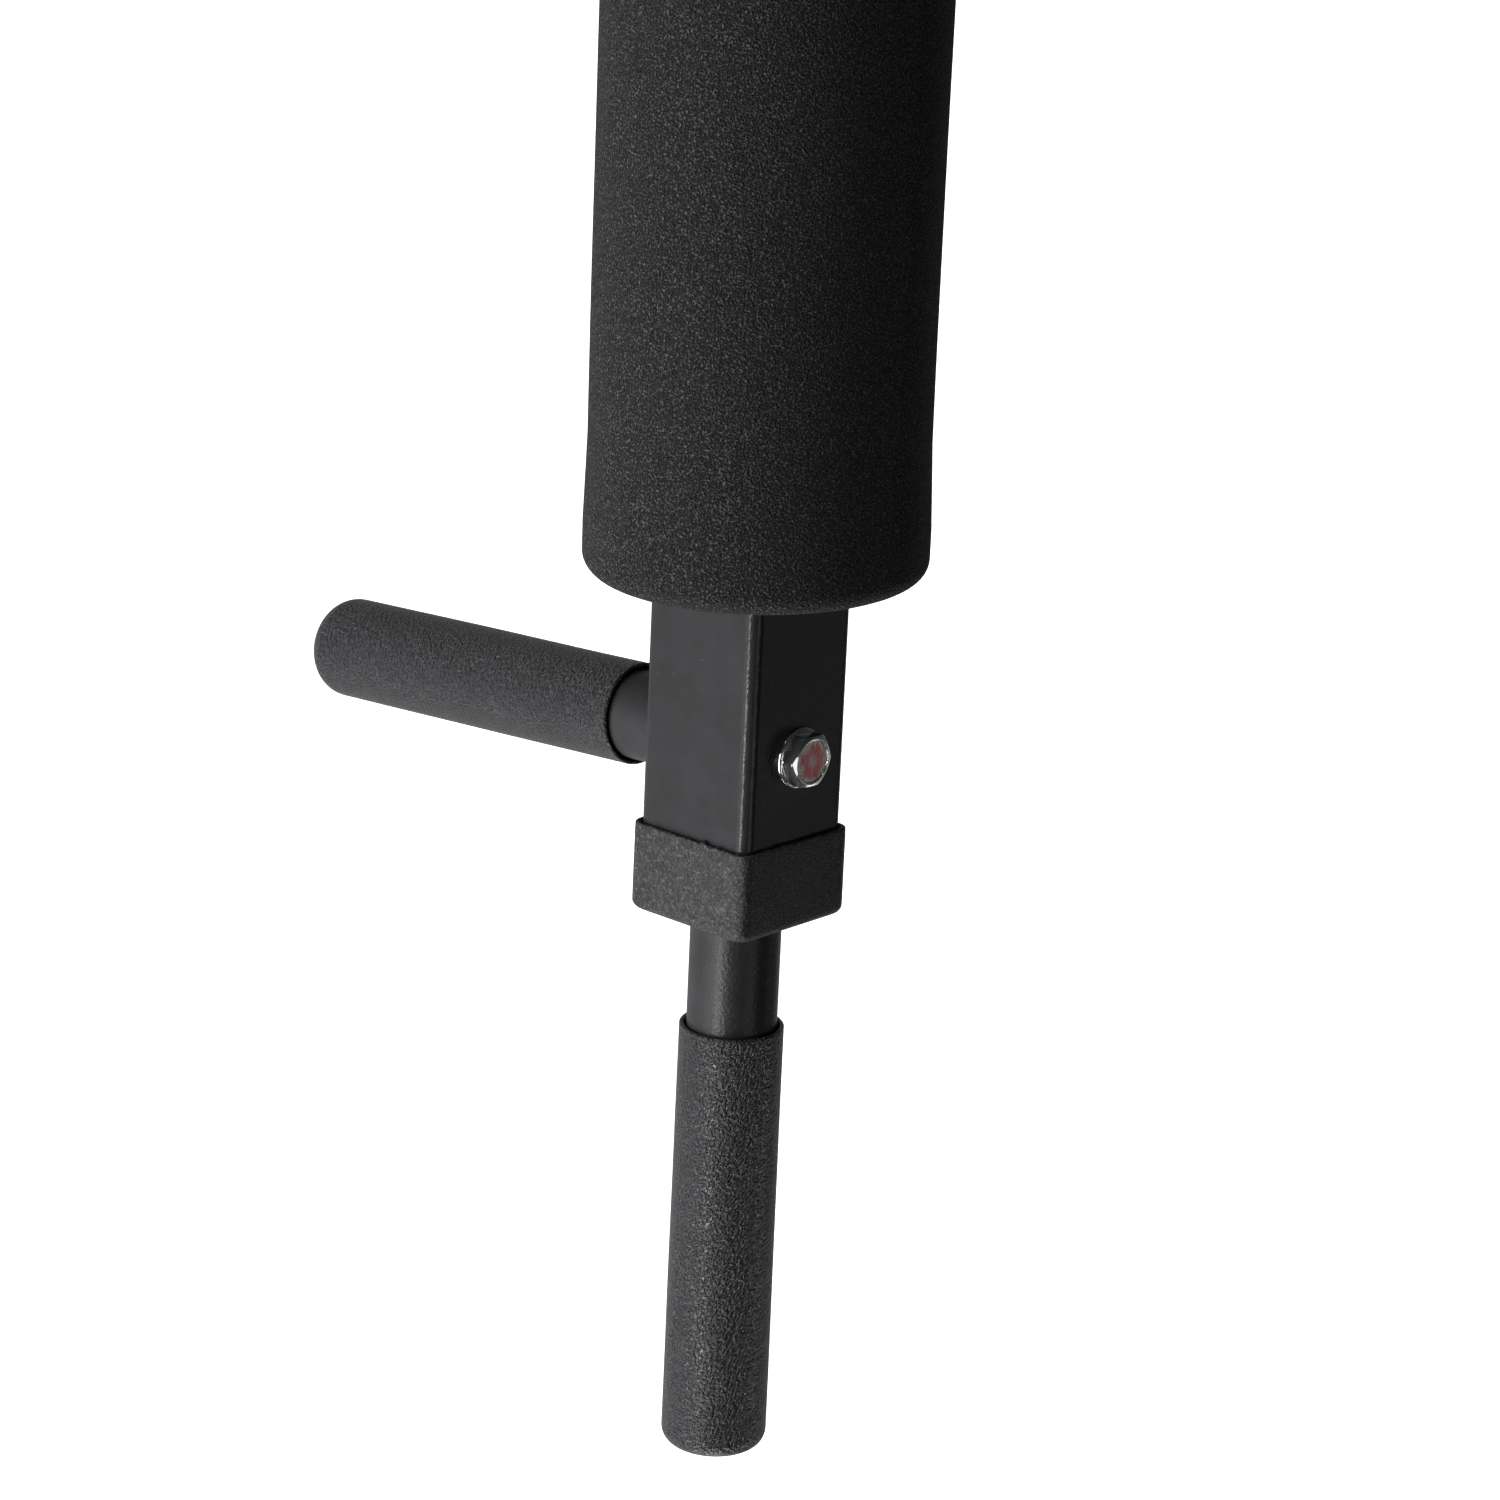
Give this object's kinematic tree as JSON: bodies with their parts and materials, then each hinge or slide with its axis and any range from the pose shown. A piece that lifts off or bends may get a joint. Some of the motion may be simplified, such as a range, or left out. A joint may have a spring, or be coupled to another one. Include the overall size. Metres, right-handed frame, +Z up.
{
  "type": "pull up bar",
  "caption": "Wall-hung pull-up bar with foam-sleeved square arms, in-line end handles, canted side handles and a back pad.",
  "frame": {"origin": "middle of the rectangle of wall holes, on the wall plane", "axes": "+X to the right as seen from the front, +Y into the wall, +Z up; the arms point along -Y"},
  "size_m": [0.8048, 0.71, 0.488],
  "materials": {
    "powder_coat": "satin",
    "zinc": "satin",
    "bare_steel": "satin",
    "foam": "matte",
    "grip_pvc": "satin",
    "collar_pvc": "satin",
    "plug_plastic": "matte",
    "pad_vinyl": "satin",
    "plywood": "matte"
  },
  "bodies": {
    "wall_brackets": {"wall_bracket_upper_left": "powder_coat", "wall_bracket_upper_right": "powder_coat", "wall_bracket_lower_left": "powder_coat", "wall_bracket_lower_right": "powder_coat"},
    "frame": {"hang_pins": "bare_steel", "post_left": "powder_coat", "post_right": "powder_coat", "post_plug_top_left": "plug_plastic", "post_plug_top_right": "plug_plastic", "post_plug_bottom_left": "plug_plastic", "post_plug_bottom_right": "plug_plastic", "crossbar_upper": "powder_coat", "crossbar_lower": "powder_coat", "arm_base_plate_left": "powder_coat", "arm_base_plate_right": "powder_coat", "arm_bolts": "zinc", "arm_nuts": "zinc", "arm_brace_left": "powder_coat", "arm_brace_right": "powder_coat", "arm_tube_left": "powder_coat", "arm_tube_right": "powder_coat", "foam_sleeve_left": "foam", "foam_sleeve_right": "foam", "arm_end_plate_left": "powder_coat", "arm_end_plate_right": "powder_coat", "collar_left": "collar_pvc", "collar_right": "collar_pvc", "end_handle_tube_left": "powder_coat", "end_handle_tube_right": "powder_coat", "end_grip_left": "grip_pvc", "end_grip_right": "grip_pvc", "side_handle_tube_left": "powder_coat", "side_handle_tube_right": "powder_coat", "side_handle_plug_left": "bare_steel", "side_handle_plug_right": "bare_steel", "side_handle_spacer_left": "bare_steel", "side_handle_spacer_right": "bare_steel", "side_handle_bolts": "zinc", "side_grip_left": "grip_pvc", "side_grip_right": "grip_pvc", "pad_board": "plywood", "pad_cushion": "pad_vinyl", "pad_screws": "zinc"}
  },
  "joints": [
    {"name": "frame_lift", "type": "slide", "parent": "wall_brackets", "child": "frame", "axis": [0, 0, 1], "range_m": [0, 0.04]}
  ]
}
